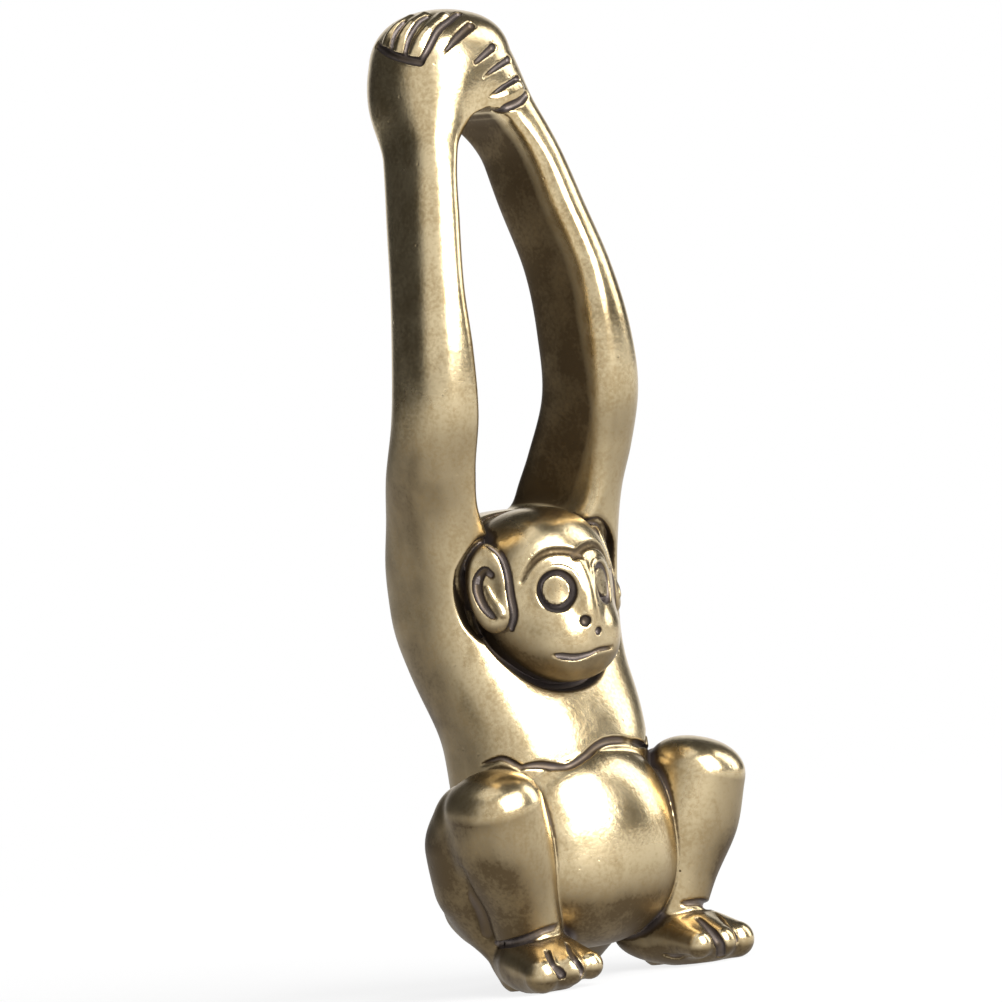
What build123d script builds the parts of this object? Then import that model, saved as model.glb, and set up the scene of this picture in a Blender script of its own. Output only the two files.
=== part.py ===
from build123d import *
from math import copysign, cos, pi, sin, sqrt
import os

# A solid cast monkey that sits with raised knees and holds both arms up in a closed loop.
# X points to the monkey's left, Y to its back and Z up. The origin is the middle of the
# flat under the rump. Lengths are in millimetres, shares are parts of the size they name.

# Trunk: height, shift to the back, width and depth of each station from the rump up
torso_height = 27.8
torso_width = 14.4
torso_depth = 9.6
torso_squareness = 2.6
torso_shares = (
    (0.00, 0.00, 0.44, 0.50),
    (0.09, -0.06, 0.62, 0.76),
    (0.23, -0.11, 0.79, 0.93),
    (0.47, -0.15, 0.90, 1.00),
    (0.72, 0.01, 0.93, 0.93),
    (0.86, 0.11, 1.00, 0.87),
    (0.94, 0.11, 0.92, 0.78),
    (1.00, 0.07, 0.55, 0.50),
)

# Arm: height, spread from the middle, sway to the back, width and depth of each station
arm_reach = 33.0
arm_spread = 6.0
arm_sway = 2.8
arm_width = 4.8
arm_depth = 7.8
arm_squareness = 3.0
arm_root_share = 0.81
elbow_share = 0.36
arm_shares = (
    (0.00, 0.75, 0.32, 0.92, 0.88),
    (0.12, 0.82, 0.29, 1.00, 1.00),
    (0.29, 0.93, -0.29, 0.92, 0.93),
    (0.47, 1.00, -0.89, 0.83, 0.85),
    (0.61, 0.96, -0.98, 0.81, 0.81),
    (0.76, 0.80, -0.68, 0.78, 0.77),
    (0.91, 0.57, -0.21, 0.77, 0.74),
    (1.00, 0.43, 0.00, 0.83, 0.74),
)

# Clasped hands: one round mass, the right hand in front of the left
hands_width = 9.4
hands_depth = 8.2
hands_height = 9.0
hands_rise = 1.1
grip_turn = 58

# Belly, set into the front of the trunk
belly_width = 12.0
belly_depth = 10.0
belly_height = 13.2
belly_forward_share = 0.38
belly_rise_share = 0.29

# Head and muzzle
head_width = 9.2
head_depth = 9.4
head_height = 10.6
head_forward_share = 0.30
head_rise_share = 0.87
muzzle_width = 6.6
muzzle_depth = 5.8
muzzle_height = 5.8
muzzle_forward_share = 0.25
muzzle_drop_share = 0.26

# Eyes: a round eyeball on a low lid disc, set on the skull
eye_spacing = 3.9
eye_diameter = 1.4
eye_bulge = 0.55
lid_diameter = 2.6
lid_bulge = 0.22
eye_rise_share = 0.05

# Ears: an oval plate with a rounded rim round a hollow, turned towards the front
ear_thickness = 1.9
ear_width = 3.2
ear_height = 5.4
ear_rim_radius = 0.6
ear_hollow_depth = 0.7
ear_hollow_share = 0.5
ear_turn = 38
ear_spread_share = 0.46
ear_forward_share = 0.12
ear_rise_share = 0.09

# Legs: place of the hip and the knee as shares of the trunk's width, depth and height
hip_shares = (0.37, -0.05, 0.19)
knee_spread = 7.9
knee_forward = 5.9
knee_rise = 11.4
knee_diameter = 5.7
hip_diameter = 5.8
thigh_end_share = 0.78
ankle_spread = 5.5
ankle_forward = 4.6
ankle_rise = 2.6
ankle_diameter = 4.1

# Feet: a flat-soled foot with a row of toes
foot_width = 5.2
foot_length = 8.4
foot_height = 3.2
foot_forward = 1.7
foot_sole_share = 0.40
toe_count = 3
toe_width = 2.0
toe_length = 3.4
toe_height = 2.1
toe_forward_share = 0.40
toe_sole_share = 0.46

outline_points = 12
arm_root = torso_height * arm_root_share
hands_centre = (0, 0, arm_root + arm_reach + hands_rise)
head_centre = (0, -torso_depth * head_forward_share, torso_height * head_rise_share)
sides = {"right": -1, "left": 1}


def rounded_outline(half_width, half_depth, squareness):
    """Points of a superellipse, an oval that is squarer the larger its exponent."""
    points = []
    for step in range(outline_points):
        turn = 2 * pi * step / outline_points
        across = copysign(abs(cos(turn)) ** (2 / squareness), cos(turn))
        along = copysign(abs(sin(turn)) ** (2 / squareness), sin(turn))
        points.append((half_width * across, half_depth * along))
    return points


def tower(stations, squareness):
    """A loft up through level ovals, each given by its x, y, z, width and depth."""
    ovals = []
    for x, y, z, width, depth in stations:
        with BuildSketch(Plane((x, y, z))) as oval:
            with BuildLine():
                Spline(*rounded_outline(width / 2, depth / 2, squareness), periodic=True)
            make_face()
        ovals.append(oval.sketch)
    loft(ovals)


def ellipsoid(centre, width, depth, height, mode=Mode.ADD, facing=(0, 0, 1)):
    """An ellipsoid of the given full sizes, its height along the facing direction."""
    ball = scale(Sphere(1, mode=Mode.PRIVATE), by=(width / 2, depth / 2, height / 2), mode=Mode.PRIVATE)
    add(Plane(origin=centre, z_dir=facing).location * ball, mode=mode)


def limb(start, end, start_diameter, end_diameter):
    """A round limb with ball ends that tapers from one point to another."""
    along = Vector(*end) - Vector(*start)
    with BuildSketch(Plane(origin=start, x_dir=along, z_dir=along.cross(Vector(0, 0, 1)))) as half:
        Circle(start_diameter / 2)
        with Locations((along.length, 0)):
            Circle(end_diameter / 2)
        make_hull()
        split(bisect_by=Plane.XZ)
    revolve(half.sketch, axis=Axis(start, along))


def arm_stations(side):
    """Places and sizes of the ovals up one arm."""
    return [
        (
            side * arm_spread * spread,
            arm_sway * sway,
            arm_root + arm_reach * rise,
            arm_width * width,
            arm_depth * depth,
        )
        for rise, spread, sway, width, depth in arm_shares
    ]


def finish(piece, name):
    """Names a finished piece and writes it."""
    piece.part.label = name
    export_step(piece.part, f"parts/{name}.step")


os.makedirs("parts", exist_ok=True)

with BuildPart() as torso:
    tower(
        [
            (0, torso_depth * shift, torso_height * rise, torso_width * width, torso_depth * depth)
            for rise, shift, width, depth in torso_shares
        ],
        torso_squareness,
    )
finish(torso, "torso")

with BuildPart() as belly:
    ellipsoid(
        (0, -torso_depth * belly_forward_share, torso_height * belly_rise_share),
        belly_width,
        belly_depth,
        belly_height,
    )
    add(torso.part, mode=Mode.SUBTRACT)
finish(belly, "belly")

# The hands are the two sides of a slanting cut through the clasped mass
grip_normal = Vector(1, 0, 0).rotate(Axis.Z, -grip_turn)
grip_plane = Plane(origin=hands_centre, z_dir=grip_normal)
hands = {}
for name, kept in (("right", Keep.TOP), ("left", Keep.BOTTOM)):
    with BuildPart() as hand:
        ellipsoid(hands_centre, hands_width, hands_depth, hands_height)
        split(bisect_by=grip_plane, keep=kept)
    finish(hand, f"hand_{name}")
    hands[name] = hand.part

elbow_plane = Plane((0, 0, arm_root + arm_reach * elbow_share))
upper_arms = {}
for name, side in sides.items():
    with BuildPart() as upper_arm:
        tower(arm_stations(side), arm_squareness)
        split(bisect_by=elbow_plane, keep=Keep.BOTTOM)
        add(torso.part, mode=Mode.SUBTRACT)
    finish(upper_arm, f"upper_arm_{name}")
    upper_arms[name] = upper_arm.part

    with BuildPart() as forearm:
        tower(arm_stations(side), arm_squareness)
        split(bisect_by=elbow_plane, keep=Keep.TOP)
        for hand in hands.values():
            add(hand, mode=Mode.SUBTRACT)
    finish(forearm, f"forearm_{name}")

with BuildPart() as head:
    ellipsoid(head_centre, head_width, head_depth, head_height)
    ellipsoid(
        (
            0,
            head_centre[1] - head_depth * muzzle_forward_share,
            head_centre[2] - head_height * muzzle_drop_share,
        ),
        muzzle_width,
        muzzle_depth,
        muzzle_height,
    )
    for piece in (torso.part, *upper_arms.values()):
        add(piece, mode=Mode.SUBTRACT)
finish(head, "head")

# Each eye sits where its place across and up the skull meets the skull's surface
eye_rise = head_height * eye_rise_share
eye_share_left = 1 - (eye_spacing / head_width) ** 2 - (2 * eye_rise / head_height) ** 2
eye_forward = head_depth / 2 * sqrt(eye_share_left)
for name, side in sides.items():
    eye_place = Vector(side * eye_spacing / 2, -eye_forward, eye_rise)
    eye_facing = (
        eye_place.X / head_width**2,
        eye_place.Y / head_depth**2,
        eye_place.Z / head_height**2,
    )
    eye_centre = Vector(*head_centre) + eye_place
    with BuildPart() as eye:
        ellipsoid(eye_centre, eye_diameter, eye_diameter, 2 * eye_bulge, facing=eye_facing)
        ellipsoid(eye_centre, lid_diameter, lid_diameter, 2 * lid_bulge, facing=eye_facing)
        add(head.part, mode=Mode.SUBTRACT)
    finish(eye, f"eye_{name}")

    ear_centre = Vector(*head_centre) + Vector(
        side * head_width * ear_spread_share,
        -head_depth * ear_forward_share,
        head_height * ear_rise_share,
    )
    ear_facing = Vector(side, 0, 0).rotate(Axis.Z, -side * ear_turn)
    ear_outside = Plane(origin=ear_centre + ear_facing * (ear_thickness / 2), x_dir=(0, 0, 1), z_dir=ear_facing)
    with BuildPart() as ear:
        with BuildSketch(ear_outside):
            Ellipse(ear_height / 2, ear_width / 2)
        extrude(amount=-ear_thickness)
        fillet(ear.faces().sort_by(Axis(ear_centre, ear_facing))[-1].edges(), ear_rim_radius)
        with BuildSketch(ear_outside):
            Ellipse(ear_height / 2 * ear_hollow_share, ear_width / 2 * ear_hollow_share)
        extrude(amount=-ear_hollow_depth, mode=Mode.SUBTRACT)
        for piece in (head.part, torso.part, upper_arms[name]):
            add(piece, mode=Mode.SUBTRACT)
    finish(ear, f"ear_{name}")

for name, side in sides.items():
    hip = (
        side * torso_width * hip_shares[0],
        torso_depth * hip_shares[1],
        torso_height * hip_shares[2],
    )
    knee = (side * knee_spread, -knee_forward, knee_rise)
    ankle = (side * ankle_spread, -ankle_forward, ankle_rise)

    with BuildPart() as shin:
        limb(knee, ankle, knee_diameter, ankle_diameter)
        for piece in (torso.part, belly.part):
            add(piece, mode=Mode.SUBTRACT)
    finish(shin, f"shin_{name}")

    with BuildPart() as thigh:
        limb(hip, knee, hip_diameter, knee_diameter * thigh_end_share)
        for piece in (torso.part, belly.part, shin.part):
            add(piece, mode=Mode.SUBTRACT)
    finish(thigh, f"thigh_{name}")

    foot_middle = (ankle[0], ankle[1] - foot_forward, foot_height * foot_sole_share)
    toe_reach = foot_middle[1] - foot_length * toe_forward_share
    toe_pitch = (foot_width - toe_width) / (toe_count - 1)
    with BuildPart() as foot:
        ellipsoid(foot_middle, foot_width, foot_length, 2 * foot_height * (1 - foot_sole_share))
        for step in range(toe_count):
            toe_place = ankle[0] - (foot_width - toe_width) / 2 + toe_pitch * step
            ellipsoid(
                (toe_place, toe_reach, toe_height * toe_sole_share),
                toe_width,
                toe_length,
                2 * toe_height * (1 - toe_sole_share),
            )
        split(bisect_by=Plane.XY, keep=Keep.TOP)
        for piece in (torso.part, belly.part, shin.part, thigh.part):
            add(piece, mode=Mode.SUBTRACT)
    finish(foot, f"foot_{name}")
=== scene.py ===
import bpy
import numpy as np
from mathutils import Matrix, Vector


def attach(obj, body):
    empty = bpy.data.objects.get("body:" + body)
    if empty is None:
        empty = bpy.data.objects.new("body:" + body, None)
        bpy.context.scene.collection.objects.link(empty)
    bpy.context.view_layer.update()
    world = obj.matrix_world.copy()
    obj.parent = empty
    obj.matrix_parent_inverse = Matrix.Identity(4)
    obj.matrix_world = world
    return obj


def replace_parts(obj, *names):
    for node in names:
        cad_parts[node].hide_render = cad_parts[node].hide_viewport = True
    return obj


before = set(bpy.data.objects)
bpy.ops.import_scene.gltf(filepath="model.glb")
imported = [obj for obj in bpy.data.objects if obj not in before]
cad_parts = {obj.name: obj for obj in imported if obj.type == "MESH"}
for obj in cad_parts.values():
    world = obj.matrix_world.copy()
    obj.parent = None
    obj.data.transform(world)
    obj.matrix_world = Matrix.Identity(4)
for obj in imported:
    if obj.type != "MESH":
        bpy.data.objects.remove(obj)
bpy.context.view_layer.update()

# The figure is modelled in millimetres as one field of distances and turned into metres at
# the end. X points to the monkey's left, Y to its back and Z up, as in the frame.
MM = 0.001

# Camera: seen from the monkey's right front, a little above, with the picture leaning left
CAMERA_TURN = np.radians(37)
CAMERA_RISE = np.radians(3)
CAMERA_ROLL = np.radians(7.5)
CAMERA_DISTANCE = 1500.0
PHOTO_SIZE = 1002
PIXELS_PER_MM = 16.0
ORIGIN_PIXEL = (562.0, 978.0)
SENSOR = 36.0

# Trunk, arms and clasped hands. Stations are height, x, y, half width and half depth. Caps
# are the heights of the round ends, and squareness is 2 for an oval and more for a box.
TORSO = (
    (0.0, 0.0, 1.0, 2.2, 1.6),
    (1.2, 0.0, 0.5, 3.2, 2.4),
    (2.8, 0.0, -0.3, 4.4, 3.4),
    (6.5, 0.0, -1.1, 5.7, 4.5),
    (11.0, 0.0, -1.5, 6.4, 4.8),
    (16.0, 0.0, -1.3, 6.6, 4.8),
    (20.5, 0.0, 0.2, 6.95, 4.4),
    (24.0, 0.0, 0.9, 6.8, 4.1),
    (26.6, 0.0, 0.9, 5.4, 3.9),
    (28.2, 0.0, 0.8, 3.6, 3.3),
)
TORSO_SQUARENESS = 2.5
TORSO_CAPS = (0.6, 1.3)
ARM = (
    (15.0, 2.6, 0.0, 2.2, 2.6),
    (19.0, 3.9, 0.5, 2.4, 3.2),
    (22.5, 4.75, 0.8, 2.5, 3.6),
    (26.5, 5.1, 0.5, 2.55, 3.8),
    (30.0, 5.1, -0.5, 2.9, 3.65),
    (32.5, 5.6, -1.5, 2.9, 3.4),
    (36.0, 5.95, -2.9, 2.7, 3.15),
    (40.0, 5.75, -3.35, 2.6, 3.0),
    (44.0, 5.3, -3.15, 2.35, 2.9),
    (48.0, 4.5, -2.45, 2.2, 2.9),
    (52.0, 3.65, -1.7, 2.05, 2.9),
    (55.5, 2.6, -0.6, 2.0, 3.0),
    (58.0, 1.6, -0.2, 1.9, 2.9),
)
ARM_SQUARENESS = 2.4
ARM_CAPS = (1.0, 2.0)
ARM_BLEND = 1.2
ELBOW = 34.4
# The flat face that an arm turns to the loop: height, x, and how far it leans to the front
INNER_FACE = (
    (24.0, 1.2, 0.1),
    (28.0, 2.5, 0.25),
    (30.0, 3.3, 0.35),
    (32.5, 3.75, 0.35),
    (36.0, 3.85, 0.35),
    (40.0, 3.9, 0.35),
    (44.0, 3.8, 0.35),
    (48.0, 2.95, 0.35),
    (52.0, 2.25, 0.2),
    (53.5, 1.7, 0.1),
    (55.0, 0.9, 0.0),
    (57.0, -1.5, 0.0),
)
INNER_FACE_BLEND = 0.8
GRIP_CENTRE = (-0.4, -0.1, 56.5)
GRIP_SIZE = (4.45, 3.9, 4.45)
GRIP_SQUARENESS = 2.1
GRIP_TURN = np.radians(58)
GRIP_BLEND = 2.0
# The opening of the loop where it arches over below the hands: height and half width
ARCH = (
    (46.0, 1.0),
    (49.0, 1.8),
    (51.5, 1.95),
    (53.0, 1.75),
    (53.9, 1.35),
    (54.5, 0.6),
    (54.8, -0.6),
    (55.2, -2.2),
)
ARCH_SHIFT = 0.25
ARCH_BLEND = 0.5
# How steep the arch's field is taken to be, as its opening closes quickly
ARCH_SLOPE = 0.8

# Left leg. Stations are given along the axes of shin and thigh, up to the knee.
SHIN = (
    (-10.6, 0, 0, 2.0, 2.1),
    (-8.0, 0, 0, 2.35, 2.4),
    (-4.5, 0.2, 0, 3.05, 2.9),
    (-1.5, 0.1, 0, 2.95, 3.1),
)
SHIN_CAPS = (1.2, 2.2)
SHIN_TOP = (8.3, -6.2, 13.2)
SHIN_AXIS = (2.8, -1.6, 10.2)
THIGH = ((-8.0, 0, 0, 2.2, 2.5), (-4.0, 0, 0, 2.6, 3.2), (-1.0, 0, 0, 2.6, 3.0))
THIGH_CAPS = (2.1, 2.3)
THIGH_TOP = (8.0, -4.6, 11.6)
THIGH_AXIS = (2.4, -4.6, 6.6)
LEG_SQUARENESS = 2.2
KNEE_BLEND = 0.35
# The haunch runs as a tube from the thigh down to the floor
HAUNCH = ((7.9, -2.2, 9.4), (7.5, -2.0, 6.8), (6.7, -2.3, 4.4), (6.0, -2.7, 2.6), (5.6, -3.1, 1.1))
HAUNCH_RADII = (2.2, 2.2, 1.6, 1.35, 1.3)
HAUNCH_BLEND = 1.6
SOLE_CENTRE = (5.5, -5.0, 1.75)
SOLE_SIZE = (2.5, 4.2, 1.8)
SOLE_AXIS = (0.06, -0.16, 1)
SOLE_SIDE = (0.94, 0.34, 0)
ANKLE_BLEND = 0.2
LEG_BLEND = 0.15
# Toes of the left foot from the outer one inwards: root, tip and radii
TOES = (
    ((6.6, -5.2, 1.9), (7.7, -8.2, 1.15), (1.6, 1.15)),
    ((5.6, -6.0, 2.1), (6.0, -8.8, 1.25), (1.3, 1.0)),
    ((4.4, -5.8, 2.0), (4.35, -8.7, 1.3), (1.25, 0.9)),
)
TOE_BLEND = 0.45

# Belly, head, ears and eyes
BODY_SQUARENESS = 2.3
BELLY_CENTRE = (0, -3.6, 8.4)
BELLY_SIZE = (6.4, 5.0, 6.5)
BELLY_BLEND = 0.15
SKULL_CENTRE = (0.0, -2.9, 24.3)
SKULL_SIZE = (4.5, 4.6, 5.3)
HEAD_BLEND = 0.1
ORBIT_BLEND = 0.5
MUZZLE_CENTRE = (0, -5.4, 21.3)
MUZZLE_SIZE = (3.2, 2.7, 2.7)
MUZZLE_SQUARENESS = 2.2
MUZZLE_BLEND = 1.3
NOSE_CENTRE = (0, -6.5, 23.6)
NOSE_SIZE = (1.05, 1.75, 3.0)
NOSE_AXIS = (0, 0.08, 1)
NOSE_BLEND = 0.5
EAR_CENTRE = np.array([4.5, -3.85, 25.1])
EAR_SIZE = (0.8, 1.5, 2.85)
EAR_SQUARENESS = 2.1
EAR_BLEND = 0.1
EAR_HOLLOW = (0.4, 1.0, 2.1)
EAR_HOLLOW_BLEND = 0.3
EAR_SIDE = (0.78, -0.62, 0.0)
EAR_AXIS = (0.05, -0.17, -1.0)
EYE_CENTRE = np.array([1.8, -7.12, 24.5])
EYE_SIZE = (0.72, 0.6, 0.75)
EYE_FACING = (0.57, -0.82, 0.0)
EYE_SIDE = (0.82, 0.57, 0.0)
SOCKET_SIZE = (1.32, 0.55, 1.44)
EYEBALL_SHIFT = (-0.02, 0.14, 0)
EYEBALL_SIZE = (0.88, 0.8, 0.94)
SOCKET_REACH = 1.6
SOCKET_BLEND = 0.12
LID_RADIUS = 1.42
LID_THICKNESS = 0.14
LID_SUNK = 0.18
LID_PROUD = 0.12
LID_REACH = 1.9
LID_BLEND = 0.25
# The hollow round the head: heights and widths, then heights and depths
MOAT_WIDTHS = ((17.0, 20.0, 23.0, 26.5, 28.5), (0.4, 0.5, 0.8, 0.7, 0.3))
MOAT_DEPTHS = ((17.0, 20.0, 23.0, 26.0, 28.0), (0.6, 0.9, 1.3, 1.0, 0.2))
MOAT_BLEND = 0.3


def unit(vector):
    """The vector at length one."""
    vector = np.asarray(vector, float)
    return vector / np.linalg.norm(vector)


# Smooth joins of fields of distances, where k is the width of the blend in millimetres


def join(a, b, k):
    """The two forms together."""
    h = np.clip(0.5 + 0.5 * (b - a) / k, 0, 1)
    return b + (a - b) * h - k * h * (1 - h)


def cut(a, b, k):
    """What the two forms have in common."""
    return -join(-a, -b, k)


def through(t, stations, column):
    """The value at t of a smooth line through one column of a table of stations."""
    table = np.asarray(stations, float)
    ts, values = table[:, 0], table[:, column]
    slope = np.gradient(values, ts)
    i = np.clip(np.searchsorted(ts, t) - 1, 0, len(ts) - 2)
    step = ts[i + 1] - ts[i]
    u = (t - ts[i]) / step
    u2, u3 = u * u, u * u * u
    return (
        (2 * u3 - 3 * u2 + 1) * values[i]
        + (u3 - 2 * u2 + u) * step * slope[i]
        + (3 * u2 - 2 * u3) * values[i + 1]
        + (u3 - u2) * step * slope[i + 1]
    )


def local(points, origin, axis, side):
    """The points' coordinates across, behind and along an axis through the origin."""
    along = unit(axis)
    across = unit(np.asarray(side, float) - np.dot(side, along) * along)
    offset = points - np.asarray(origin, float)
    return offset @ across, offset @ np.cross(along, across), offset @ along


def super_distance(x, y, z, w, d, h, n):
    """Distance to a squarish ellipsoid with half sizes w, d, h."""
    ax, ay, az = np.abs(x) / w, np.abs(y) / d, np.abs(z) / h
    size = (ax**n + ay**n + az**n) ** (1 / n) + 1e-9
    slope = np.sqrt((ax ** (n - 1) / w) ** 2 + (ay ** (n - 1) / d) ** 2 + (az ** (n - 1) / h) ** 2)
    return (size - 1) * size ** (n - 1) / np.maximum(slope, 1e-6)


def tower(points, stations, squareness, caps, origin=(0, 0, 0), axis=(0, 0, 1), side=(1, 0, 0)):
    """Distance to a limb that runs through oval stations and ends in round caps."""
    x, y, t = local(points, origin, axis, side)
    first, last = stations[0][0], stations[-1][0]
    inside = np.clip(t, first, last)
    cx, cy, w, d = (through(inside, stations, column) for column in range(1, 5))
    cap = np.where(t < first, caps[0], caps[1])
    return super_distance(x - cx, y - cy, t - inside, w, d, cap, squareness)


def blob(points, centre, half_sizes, squareness=2.0, axis=(0, 0, 1), side=(1, 0, 0)):
    """Distance to a squarish ellipsoid."""
    x, y, z = local(points, centre, axis, side)
    return super_distance(x, y, z, *half_sizes, squareness)


def tube(points, path, radii):
    """Distance to a round tube along a path, with a radius at each of its points."""
    path = np.asarray(path, float)
    radii = np.broadcast_to(np.asarray(radii, float), (len(path),))
    nearest = np.full(len(points), 1e9)
    for a, b, ra, rb in zip(path[:-1], path[1:], radii[:-1], radii[1:]):
        run = b - a
        t = np.clip(((points - a) @ run) / (run @ run), 0, 1)
        gap = np.linalg.norm(points - a - t[:, None] * run, axis=1)
        nearest = np.minimum(nearest, gap - (ra + (rb - ra) * t))
    return nearest


def ring(points, centre, normal, radius, thickness):
    """Distance to a round ring about a normal."""
    offset = points - np.asarray(centre, float)
    normal = unit(normal)
    height = offset @ normal
    reach = np.linalg.norm(offset - height[:, None] * normal, axis=1)
    return np.hypot(reach - radius, height) - thickness


# The camera, and the way from a pixel of the photograph to a point on the figure

RAY_START = CAMERA_DISTANCE - 25.0
RAY_END = CAMERA_DISTANCE + 20.0
RAY_STEPS = 120
# The share of the distance to the figure that a step takes, and how far it may go
RAY_SHARE = 0.7
RAY_STRIDE = (-0.5, 2.0)
CAMERA_BACK = np.array(
    [
        -np.sin(CAMERA_TURN) * np.cos(CAMERA_RISE),
        -np.cos(CAMERA_TURN) * np.cos(CAMERA_RISE),
        np.sin(CAMERA_RISE),
    ]
)
LEVEL_RIGHT = np.array([np.cos(CAMERA_TURN), -np.sin(CAMERA_TURN), 0])
LEVEL_UP = np.cross(CAMERA_BACK, LEVEL_RIGHT)
CAMERA_RIGHT = LEVEL_RIGHT * np.cos(CAMERA_ROLL) - LEVEL_UP * np.sin(CAMERA_ROLL)
CAMERA_UP = LEVEL_UP * np.cos(CAMERA_ROLL) + LEVEL_RIGHT * np.sin(CAMERA_ROLL)


def picture_point(pixel):
    """The point in the picture plane through the origin that a pixel shows."""
    across = (pixel[0] - ORIGIN_PIXEL[0]) / PIXELS_PER_MM
    upward = (ORIGIN_PIXEL[1] - pixel[1]) / PIXELS_PER_MM
    return CAMERA_RIGHT * across + CAMERA_UP * upward


AIM = picture_point((PHOTO_SIZE / 2, PHOTO_SIZE / 2))
CAMERA_PLACE = AIM + CAMERA_BACK * CAMERA_DISTANCE


def on_surface(field, pixels):
    """The points of the figure that pixels of the photograph show, and their normals."""
    rays = np.array([unit(picture_point(pixel) - CAMERA_PLACE) for pixel in pixels])
    far = np.full(len(rays), RAY_START)
    for _ in range(RAY_STEPS):
        far += np.clip(field(CAMERA_PLACE + rays * far[:, None]) * RAY_SHARE, *RAY_STRIDE)
        far = np.minimum(far, RAY_END)
    points = CAMERA_PLACE + rays * far[:, None]
    return points, gradient(field, points)


def gradient(field, points, step=0.04):
    """Unit normals of a field, from four samples round each point."""
    corners = np.array([[1, -1, -1], [-1, -1, 1], [-1, 1, -1], [1, 1, 1]], float)
    total = sum(corner * field(points + corner * step)[:, None] for corner in corners)
    return total / (np.linalg.norm(total, axis=1)[:, None] + 1e-12)


# The body parts. Those of a pair are modelled on the left and mirrored to the right.

MIRROR = np.array([-1.0, 1.0, 1.0])
AS_IS = np.ones(3)


def torso(points):
    return tower(points, TORSO, TORSO_SQUARENESS, TORSO_CAPS)


def arm(points):
    body = tower(points, ARM, ARM_SQUARENESS, ARM_CAPS)
    height = np.clip(points[:, 2], INNER_FACE[0][0], INNER_FACE[-1][0])
    lean = through(height, INNER_FACE, 2) * (points[:, 1] - through(height, ARM, 2))
    face = through(height, INNER_FACE, 1) - lean
    return cut(body, face - points[:, 0], INNER_FACE_BLEND)


def belly(points):
    return blob(points, BELLY_CENTRE, BELLY_SIZE, BODY_SQUARENESS)


def head(points):
    skull = blob(points, SKULL_CENTRE, SKULL_SIZE, BODY_SQUARENESS)
    aside = (np.abs(points[:, 0]) - EYE_CENTRE[0]) * EYE_FACING[0]
    orbit = aside + (points[:, 1] - EYE_CENTRE[1]) * EYE_FACING[1]
    skull = cut(skull, orbit, ORBIT_BLEND)
    muzzle = blob(points, MUZZLE_CENTRE, MUZZLE_SIZE, MUZZLE_SQUARENESS)
    nose = blob(points, NOSE_CENTRE, NOSE_SIZE, BODY_SQUARENESS, NOSE_AXIS)
    return join(join(skull, muzzle, MUZZLE_BLEND), nose, NOSE_BLEND)


def shin(points):
    return tower(points, SHIN, LEG_SQUARENESS, SHIN_CAPS, SHIN_TOP, SHIN_AXIS)


def thigh(points):
    upper = tower(points, THIGH, LEG_SQUARENESS, THIGH_CAPS, THIGH_TOP, THIGH_AXIS)
    return join(upper, tube(points, HAUNCH, HAUNCH_RADII), HAUNCH_BLEND)


def foot(points):
    sole = blob(points, SOLE_CENTRE, SOLE_SIZE, BODY_SQUARENESS, SOLE_AXIS, SOLE_SIDE)
    for root, tip, radii in TOES:
        sole = join(sole, tube(points, (root, tip), radii), TOE_BLEND)
    return sole


def ear(points):
    shell = blob(points, EAR_CENTRE, EAR_SIZE, EAR_SQUARENESS, EAR_AXIS, EAR_SIDE)
    face = EAR_CENTRE + unit(EAR_SIDE) * EAR_SIZE[0]
    hollow = blob(points, face, EAR_HOLLOW, axis=EAR_AXIS, side=EAR_SIDE)
    return cut(shell, -hollow, EAR_HOLLOW_BLEND)


def eye(points):
    return blob(points, EYE_CENTRE, EYE_SIZE)


def grip(points):
    return blob(points, GRIP_CENTRE, GRIP_SIZE, GRIP_SQUARENESS)


def arch(points):
    """The opening of the loop below the hands, where it closes."""
    height = np.clip(points[:, 2], ARCH[0][0], ARCH[-1][0])
    opening = through(height, ARCH, 1) - np.abs(points[:, 0] - ARCH_SHIFT)
    return np.minimum(opening, points[:, 2] - ARCH[0][0]) * ARCH_SLOPE


# Each form is worked out only where it counts: elsewhere it is a plain FAR millimetres away.
# The grids that boxes and mesh are made on run from the low to the high corner.
GRID_LOW = (-12.5, -13.0, -0.6)
GRID_HIGH = (12.5, 7.5, 62.5)
FAR = 2.6
BOX_STEP = 1.0


def boxed(field, mirror=AS_IS):
    """The field of a form, worked out only inside the box round it."""
    spans = [np.arange(low, high, BOX_STEP) for low, high in zip(GRID_LOW, GRID_HIGH)]
    nodes = np.stack(np.meshgrid(*spans, indexing="ij"), -1).reshape(-1, 3)
    close = nodes[field(nodes * mirror) < FAR]
    low, high = close.min(0) - BOX_STEP, close.max(0) + BOX_STEP

    def inside(points):
        value = np.full(len(points), FAR)
        near = np.all((points > low) & (points < high), axis=1)
        if near.any():
            value[near] = np.minimum(field(points[near] * mirror), FAR)
        return value

    return inside


def pair(name, field):
    """The fields of a form on the left and of its mirror image on the right."""
    return {name + "_left": boxed(field), name + "_right": boxed(field, MIRROR)}


SIDES = ("_left", "_right")
FORMS = {form.__name__: boxed(form) for form in (torso, belly, head, grip)}
for form in (arm, shin, thigh, foot, ear, eye):
    FORMS.update(pair(form.__name__, form))


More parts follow.
